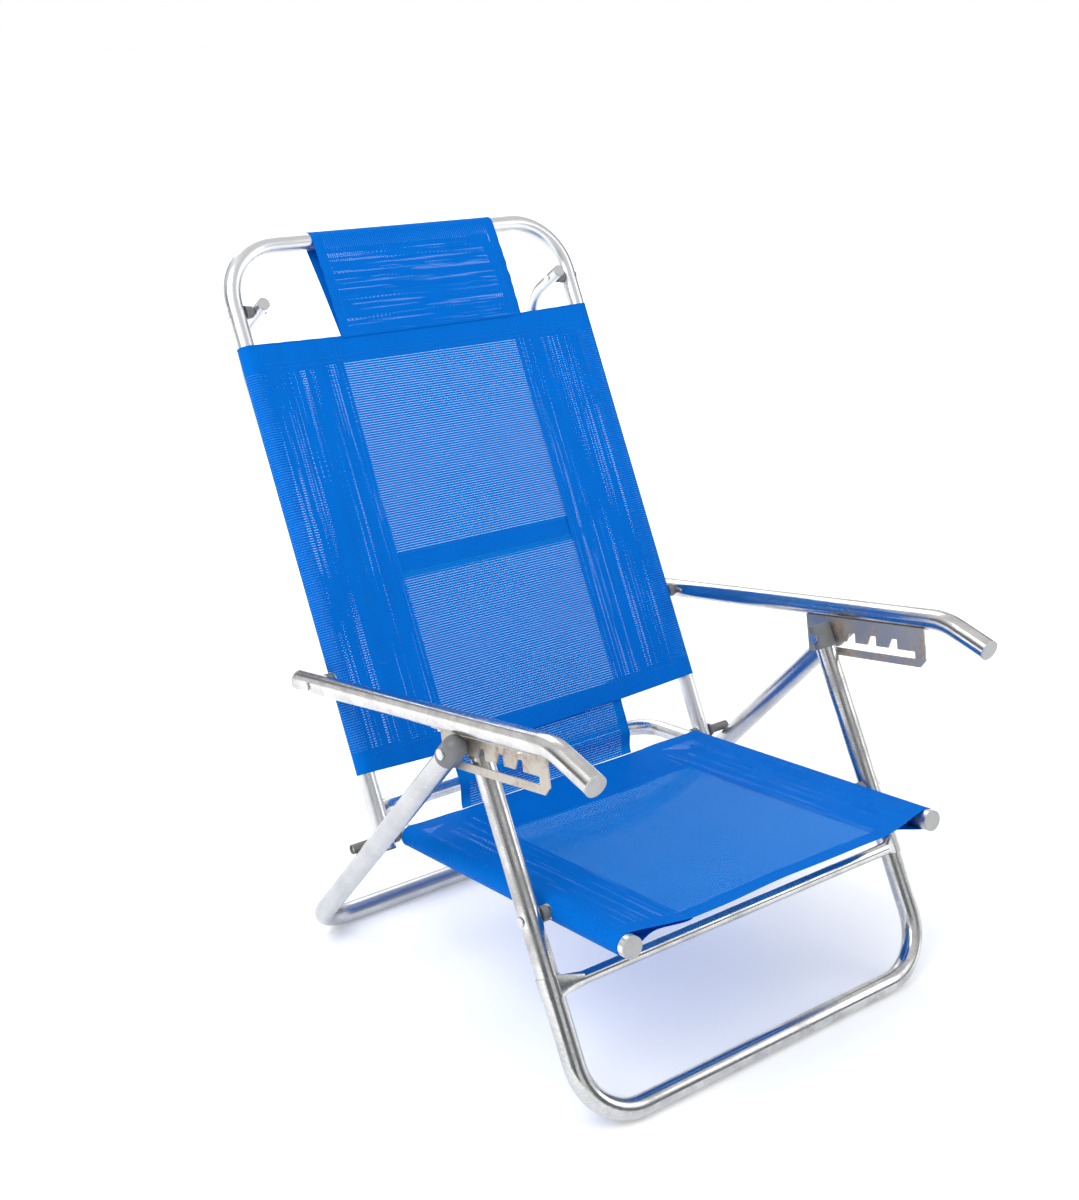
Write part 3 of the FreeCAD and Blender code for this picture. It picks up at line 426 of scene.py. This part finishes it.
class Pocket:
    """The line of a sling across the chair: web, sleeve round each tube, and back to its seam."""

    def __init__(self, half, radius, seam, web, rear):
        self.half, self.radius, self.seam, self.web = half, radius, seam, web
        reach = math.hypot(half - seam, web)
        base = math.atan2(web, seam - half)
        self.top = base - math.acos(radius / reach)
        rear_reach = math.hypot(half - seam, rear)
        rear_base = math.atan2(rear, seam - half)
        self.low = rear_base + math.acos(radius / rear_reach) - 2 * math.pi
        self.rear = rear
        self.rise = math.sqrt(reach**2 - radius**2)
        self.turn = radius * (self.top - self.low)
        self.back = math.sqrt(rear_reach**2 - radius**2)
        self.over = seam + self.rise
        self.under = self.over + self.turn
        self.total = self.under + self.back
        self.outermost = self.over + radius * self.top

    def at(self, s):
        """(x, w, normal x, normal w) at a distance s across the cloth from its middle."""
        side, s = (1 if s >= 0 else -1), abs(s)
        if s <= self.seam:
            return side * s, self.web, 0.0, 1.0
        if s <= self.over:
            share = (s - self.seam) / self.rise
            cos, sin = math.cos(self.top), math.sin(self.top)
            x1, w1 = self.half + self.radius * cos, self.radius * sin
            x, w = self.seam + (x1 - self.seam) * share, self.web + (w1 - self.web) * share
            return side * x, w, side * cos, sin
        if s <= self.under:
            angle = self.top - (s - self.over) / self.radius
            cos, sin = math.cos(angle), math.sin(angle)
            return side * (self.half + self.radius * cos), self.radius * sin, side * cos, sin
        share = (s - self.under) / self.back
        cos, sin = math.cos(self.low), math.sin(self.low)
        x0, w0 = self.half + self.radius * cos, self.radius * sin
        x, w = x0 + (self.seam - x0) * share, w0 + (self.rear - w0) * share
        return side * x, w, side * cos, sin

    def columns(self, web_step=5.0, arc_steps=14):
        half = steps(0, self.seam, web_step) + steps(self.seam, self.over, web_step)[1:]
        half += steps(self.over, self.under, self.turn / arc_steps)[1:]
        half += steps(self.under, self.total, web_step)[1:]
        return [-s for s in reversed(half)] + half[1:]


# --------------------------------------------------------------------------------------- back sling

BACK_LOW, BACK_HIGH = 84.0, 632.7
BACK_HALF = 263.4
BACK_WINDOWS = ((103.0, 316.0), (339.0, 598.0))
BACK_TOP_HEM, BACK_LOW_HEM = 35.0, 27.0
BAND_LOW, BAND_HIGH, BAND_HALF = 314.0, 341.0, 140.0
ARM_BOLT_V, ARM_BOLT_HOLE = 205.7, 10.0
back_pocket = Pocket(half=BACK_HALF, radius=11.8, seam=137.0, web=6.5, rear=5.2)


def back_relief(x, v):
    """Slack of the back, in mm: a shallow hollow, and long ripples in the doubled sides."""
    share = (v - BACK_LOW) / (BACK_HIGH - BACK_LOW)
    hollow = -3.5 * math.cos(min(1.0, abs(x) / 260) * math.pi / 2) * arch(share)
    side = ease((abs(x) - 120) / 30) * ease((255 - abs(x)) / 25)
    ripple = 0.55 * math.sin(x * 0.21 + 0.8 * math.sin(v * 0.011) + (2.0 if x > 0 else 0.4))
    ripple += 0.35 * math.sin(x * 0.43 + v * 0.006 + 1.3)
    return hollow + side * ripple


def back_spot(s, v, out):
    x, w, nx, nw = back_pocket.at(s)
    on_front = ease((back_pocket.over - abs(s)) / 40)
    out += back_relief(x, v) * on_front
    return back_plane.at(x + nx * out, v, w + nw * out)


def back_low_edge(s):
    """The lower hem hangs a little in the middle."""
    x = min(1.0, abs(back_pocket.at(s)[0]) / BACK_HALF)
    return BACK_LOW - 8.0 * (1 - x * x) + 1.0 * math.sin(3.0 * x)


def back_high_edge(s):
    x = min(1.0, abs(back_pocket.at(s)[0]) / BACK_HALF)
    return BACK_HIGH - 2.0 * (1 - x * x)


def between(low, high, share, out=0.0):
    return lambda s: (low(s) + (high(s) - low(s)) * share, out)


def pocket_slots(pocket, windows):
    """0 in the windows between the seams, 1 on the flaps behind, 2 elsewhere."""
    def slot(s, v):
        if abs(s) > pocket.under:
            return 1
        open_here = any(low < v < high for low, high in windows)
        return 0 if open_here and abs(s) < pocket.seam else 2

    return slot


back_columns = back_pocket.columns()
back_cloth = patch(
    "back_sling_cloth", back_spot, back_columns,
    [between(back_low_edge, back_high_edge, share) for share in steps(0, 1, 1 / 130)],
    [WINDOW_MESH, LONG_STREAKS, SIDE_MESH],
    pocket_slots(back_pocket, BACK_WINDOWS),
    (back_pocket.outermost, ARM_BOLT_V, ARM_BOLT_HOLE),
)
back_top_hem = folded_edge(
    "back_sling_top_hem", back_spot, back_columns, back_high_edge, -1, BACK_TOP_HEM,
    [HEM_MESH], 0.45,
)
back_low_hem = folded_edge(
    "back_sling_low_hem", back_spot, back_columns, back_low_edge, 1, BACK_LOW_HEM,
    [HEM_MESH], 0.45,
)
back_band = patch(
    "back_sling_band", back_spot, steps(-BAND_HALF, BAND_HALF, 5.0),
    [level(v, -0.8) for v in steps(BAND_LOW, BAND_HIGH, 4.5)], [HEM_MESH],
)
SEAM_INSETS = (1.5, 7.0)
ARM_TACK = (204.0, 209.0)
SEAT_TACK = (205.0, 59.0)


def bar_tacks(s, v, wide=11.0, tall=5.0):
    """Lines of the dense zigzag stitch that ends a seam, on both sides of the middle."""
    lines = []
    for middle in (-s, s):
        spots = [
            (middle + wide * (step / 8 - 0.5), v + (-1) ** step * tall / 2) for step in range(9)
        ]
        lines += list(zip(spots, spots[1:]))
    return lines


def side_seams(seam, low, high):
    """Two rows of stitching outside each side seam."""
    rows = [side * (seam + inset) for side in (-1, 1) for inset in SEAM_INSETS]
    return [((s, low), (s, high)) for s in rows]


def cross_rows(reach, *heights):
    return [((-reach, v), (reach, v)) for v in heights]


seam_lines = bar_tacks(*ARM_TACK) + side_seams(back_pocket.seam, 80.0, 628.0)
seam_lines += cross_rows(136.0, 316.0, 338.5) + cross_rows(250.0, 599.5, 606.0, 104.0)
back_stitches = stitches("back_sling_stitches", back_spot, seam_lines)


# --------------------------------------------------------------------------------------- seat sling

SEAT_REAR, SEAT_FRONT = -292.0, 123.0
SEAT_WINDOWS = ((-207.0, 108.0),)
SEAT_HEM = 22.0
SEAT_BAND_REAR, SEAT_BAND_FRONT, SEAT_BAND_HALF = -285.0, -206.0, 150.0
SEAT_BOLT_HOLE = 10.3
seat_pocket = Pocket(half=234.3, radius=13.4, seam=150.0, web=5.6, rear=4.2)


def seat_relief(x, v):
    """Slack of the seat, in mm: a shallow hollow, a crease near the rear, small ripples."""
    share = (v - SEAT_REAR) / (SEAT_FRONT - SEAT_REAR)
    hollow = -4.0 * math.cos(min(1.0, abs(x) / 235) * math.pi / 2) * arch(share) ** 0.6
    off_crease = (v + 205 + 0.00035 * x * x) / 7.5
    crease = 2.4 * math.exp(-(off_crease**2)) * ease((215 - abs(x)) / 60)
    ripple = 0.4 * math.sin(x * 0.045 + v * 0.02) + 0.25 * math.sin(v * 0.07 - x * 0.018 + 1.0)
    return hollow + crease + ripple * ease((215 - abs(x)) / 40)


def seat_spot(s, v, out):
    x, w, nx, nw = seat_pocket.at(s)
    on_top = ease((seat_pocket.over - abs(s)) / 30)
    out += seat_relief(x, v) * on_top
    return seat_plane.at(x + nx * out, v, w + nw * out)


def through(pairs):
    """A smooth curve through (|s|, value) pairs."""
    def value(s):
        s = abs(s)
        for (s0, v0), (s1, v1) in zip(pairs, pairs[1:]):
            if s <= s1:
                return v0 + (v1 - v0) * ease((s - s0) / (s1 - s0))
        return pairs[-1][1]

    return value


flap_middle = (seat_pocket.under + seat_pocket.total) / 2
seat_front_edge = through([
    (0, 127.0), (seat_pocket.seam, 131.0), (seat_pocket.over, 121.0),
    (seat_pocket.under, 119.0), (flap_middle, 110.0), (seat_pocket.total, 130.0),
])
seat_rear_edge = through([
    (0, -305.0), (seat_pocket.seam, -303.0),
    (seat_pocket.over, SEAT_REAR), (seat_pocket.total, -298.0),
])
seat_columns = seat_pocket.columns()
seat_cloth = patch(
    "seat_sling_cloth", seat_spot, seat_columns,
    [between(seat_rear_edge, seat_front_edge, share) for share in steps(0, 1, 1 / 104)],
    [SEAT_MESH, LONG_STREAKS, SIDE_MESH], pocket_slots(seat_pocket, SEAT_WINDOWS),
    (seat_pocket.outermost, 0.0, SEAT_BOLT_HOLE),
)
seat_front_hem = folded_edge(
    "seat_sling_front_hem", seat_spot, seat_columns, seat_front_edge, -1, SEAT_HEM, [HEM_MESH], 0.4
)
seat_rear_hem = folded_edge(
    "seat_sling_rear_hem", seat_spot, seat_columns, seat_rear_edge, 1, SEAT_HEM, [HEM_MESH], 0.4
)
rear_band = patch(
    "seat_sling_rear_band", seat_spot, steps(-SEAT_BAND_HALF, SEAT_BAND_HALF, 5.0),
    [level(v, -0.9) for v in steps(SEAT_BAND_REAR, SEAT_BAND_FRONT, 5.0)], [HEM_MESH],
)
seat_lines = bar_tacks(*SEAT_TACK) + side_seams(seat_pocket.seam, -290.0, 124.0)
seat_lines += cross_rows(148.0, -208.0) + cross_rows(225.0, -286.0) + cross_rows(148.0, 107.0)
seat_stitches = stitches("seat_sling_stitches", seat_spot, seat_lines)


# -------------------------------------------------------------------------------------- head pillow

BAR, PILLOW_SHIFT, PILLOW_HALF = 762.5, 8.0, 143.0
pillow_loop = Pocket(half=BAR, radius=11.9, seam=629.0, web=7.8, rear=5.2)
PILLOW_LENGTH = pillow_loop.total - pillow_loop.seam
pillow_side = pillow_loop.rise
pillow_turn = pillow_loop.turn


def pillow_spot(q, x, out):
    v, w, nv, nw = pillow_loop.at(pillow_loop.seam + q)
    belly = arch(q / pillow_side)
    front = 2.2 * belly + belly * (
        0.7 * math.sin(q * 0.33 + 0.012 * x) + 0.45 * math.sin(q * 0.19 - 0.02 * x + 1.0)
    )
    is_behind = q > pillow_side + pillow_turn
    rear = -1.0 * arch((PILLOW_LENGTH - q) / pillow_side) if is_behind else 0.0
    out += front + rear
    lean = x + PILLOW_SHIFT - 6.0 * (v - BAR) / (BAR - pillow_loop.seam)
    return back_plane.at(lean, v + nv * out, w + nw * out)


pillow_columns = (
    steps(0, pillow_side, 4.0) + steps(pillow_side, pillow_side + pillow_turn, 2.8)[1:]
    + steps(pillow_side + pillow_turn, PILLOW_LENGTH, 4.0)[1:]
)
pillow_cloth = patch(
    "head_pillow_cloth", pillow_spot, pillow_columns,
    [level(x) for x in steps(-PILLOW_HALF, PILLOW_HALF, 5.0)],
    [SIDE_MESH, CROSS_STREAKS], lambda q, x: 1 if q > pillow_side + pillow_turn else 0,
)
SIDES = ((-1, "right"), (1, "left"))
SIDE_HEM = 14.0
pillow_hems = []
for side, word in SIDES:
    pillow_hems.append(folded_edge(
        f"head_pillow_hem_{word}", pillow_spot, pillow_columns,
        lambda q, side=side: side * PILLOW_HALF, -side, SIDE_HEM, [HEM_MESH], 0.4,
    ))
pillow_lines = []
for side, _ in SIDES:
    for inset in (3.0, 12.5):
        x = side * (PILLOW_HALF - inset)
        pillow_lines.append(((3.0, x), (PILLOW_LENGTH - 3.0, x)))
pillow_lines.append(((4.0, -140.0), (4.0, 140.0)))
pillow_stitches = stitches("head_pillow_stitches", pillow_spot, pillow_lines)


# ------------------------------------------------------------------------------------- lumbar strip

STRIP_LOW, STRIP_HALF = 4.0, 140.0
TUCK_DEPTH, TUCK_REACH = 13.0, 34.0


def strip_spot(x, v, out):
    """Nearly flat, with its lower end tucked back, clear of the seat when the chair folds."""
    share = (v - STRIP_LOW) / (BACK_LOW - STRIP_LOW)
    sag = -2.0 * arch(share)
    ripple = 0.4 * math.sin(v * 0.23 + x * 0.01) * arch(share)
    tuck = -TUCK_DEPTH * (1 - ease((v - STRIP_LOW) / TUCK_REACH))
    return back_plane.at(x, v, 5.4 - 0.6 * share + sag + ripple + tuck + out)


strip_cloth = patch(
    "lumbar_strip_cloth", strip_spot, steps(-STRIP_HALF, STRIP_HALF, 5.0),
    [level(v) for v in steps(STRIP_LOW, BACK_LOW + 2, 3.0)], [SEAT_MESH],
)


def swapped(spot):
    """The same surface with its two coordinates the other way round."""
    return lambda a, b, out: spot(b, a, out)


strip_hems = []
for side, word in SIDES:
    strip_hems.append(folded_edge(
        f"lumbar_strip_hem_{word}", swapped(strip_spot), steps(STRIP_LOW, BACK_LOW - 1, 4.0),
        lambda v, side=side: side * STRIP_HALF, -side, SIDE_HEM, [HEM_MESH], 0.5,
    ))


# ------------------------------------------------------------------------------- what rides on what

for cloth, body, node, extras in (
    (back_cloth, "back", "back_sling", [back_top_hem, back_low_hem, back_band, back_stitches]),
    (seat_cloth, "seat", "seat_sling", [seat_front_hem, seat_rear_hem, rear_band, seat_stitches]),
    (pillow_cloth, "back", "head_pillow", [*pillow_hems, pillow_stitches]),
    (strip_cloth, "back", "lumbar_strip", strip_hems),
):
    for piece in (cloth, *extras):
        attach(piece, body)
    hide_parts(node)


# ------------------------------------------------------------------------------------------- studio


def make_floor():
    """A pale floor that glows as painted light: a little near the chair, lifting the shade under
    it, and more with distance, so that it meets the white behind it.
    """
    made = Finish("pale_floor", (0.86, 0.87, 0.89), 0.55, specular=0.25)
    soft = made.noise(made.place(), 3.0, 3.0)
    dark, light = (0.86, 0.87, 0.89, 1), (0.88, 0.89, 0.90, 1)
    made.link(made.mix(made.span(soft, 0.3, 0.7, 0.0, 1.0), dark, light), "Base Color")
    reach = 30.0
    corners = [(-reach, -reach, 0), (reach, -reach, 0), (reach, reach, 0), (-reach, reach, 0)]
    where = made.node("ShaderNodeTexCoord").outputs["Object"]
    away = made.node("ShaderNodeVectorMath", Vector=where)
    away.operation = "LENGTH"
    # Painted light: the floor's own emission lifts the shadow under the chair and brightens the
    # floor further off.
    made.set("Emission Color", (1, 1, 1, 1))
    made.link(made.span(away.outputs["Value"], 0.5, 3.2, 0.22, 0.8), "Emission Strength")
    floor = mesh_object("studio_floor", corners, [(0, 1, 2, 3)], [made.material])


BACKDROP = (1.25, 1.25, 1.25, 1)
WORLD_STRENGTH = 0.8
PANEL_COLOUR = (0.05, 0.07, 0.11, 1)


def make_world():
    """An even pale studio, with darker panels near the horizon that the metal mirrors."""
    world = bpy.data.worlds.new("studio")
    world.use_nodes = True
    scene.world = world
    world.node_tree.nodes.clear()
    made = Nodes(world.node_tree)
    where = made.node("ShaderNodeTexCoord").outputs["Generated"]
    parts = made.node("ShaderNodeSeparateXYZ", Vector=where)
    azimuth = made.math("ARCTAN2", parts.outputs[1], parts.outputs[0])
    bands = made.math("SINE", made.math("ADD", made.math("MULTIPLY", azimuth, 5.0), 0.6))
    height = made.math("MULTIPLY", made.math("SUBTRACT", 0.62, parts.outputs[2]), 3.0)
    low_down = made.math("MINIMUM", made.math("MAXIMUM", height, 0.0), 1.0)
    panels = made.math("MULTIPLY", made.math("GREATER_THAN", bands, -0.1), low_down)
    panels = made.math("MULTIPLY", panels, 0.85)
    mirrored = made.mix(panels, (1.0, 1.0, 1.0, 1), PANEL_COLOUR)
    seen = made.node("ShaderNodeLightPath").outputs["Is Camera Ray"]
    shown = made.mix(seen, mirrored, BACKDROP)
    background = made.node("ShaderNodeBackground", Color=shown, Strength=WORLD_STRENGTH)
    made.node("ShaderNodeOutputWorld", Surface=background.outputs[0])


def make_light(name, place, target, size, power, colour=(1, 1, 1)):
    data = bpy.data.lights.new(name, "AREA")
    data.shape = "SQUARE"
    data.size = size
    data.energy = power
    data.color = colour
    light = bpy.data.objects.new(name, data)
    light.location = place
    aim = Vector(target) - Vector(place)
    light.rotation_euler = aim.to_track_quat("-Z", "Y").to_euler()
    scene.collection.objects.link(light)


CAMERA_ANGLES = (-37.43, 20.36, 0.6)
CAMERA_PLACE = (-1.2025, -1.4983, 1.1568)
LENS_MM, SENSOR_MM = 49.233, 36.0


def make_camera():
    """Aimed by azimuth and elevation, then rolled a little."""
    azimuth, elevation, roll = (math.radians(angle) for angle in CAMERA_ANGLES)
    cos_a, sin_a = math.cos(azimuth), math.sin(azimuth)
    cos_e, sin_e = math.cos(elevation), math.sin(elevation)
    back = Vector((sin_a * cos_e, -cos_a * cos_e, sin_e))
    sideways = Vector((cos_a, sin_a, 0))
    upright = back.cross(sideways)
    right = sideways * math.cos(roll) + upright * math.sin(roll)
    up = upright * math.cos(roll) - sideways * math.sin(roll)
    data = bpy.data.cameras.new("camera")
    data.sensor_width = SENSOR_MM
    data.lens = LENS_MM
    camera = bpy.data.objects.new("camera", data)
    camera.matrix_world = Matrix.LocRotScale(
        Vector(CAMERA_PLACE), Matrix((right, up, back)).transposed(), None
    )
    scene.collection.objects.link(camera)
    scene.camera = camera


make_floor()
make_world()
MIDDLE = (0, 0, 0.4)
make_light("key", (-2.4, -0.4, 3.0), MIDDLE, 2.4, 75)
make_light("fill", (2.6, -2.0, 1.9), MIDDLE, 2.0, 25)
make_light("rear", (0.6, 2.6, 2.6), MIDDLE, 2.2, 35)
make_camera()
scene.view_settings.view_transform = "Standard"
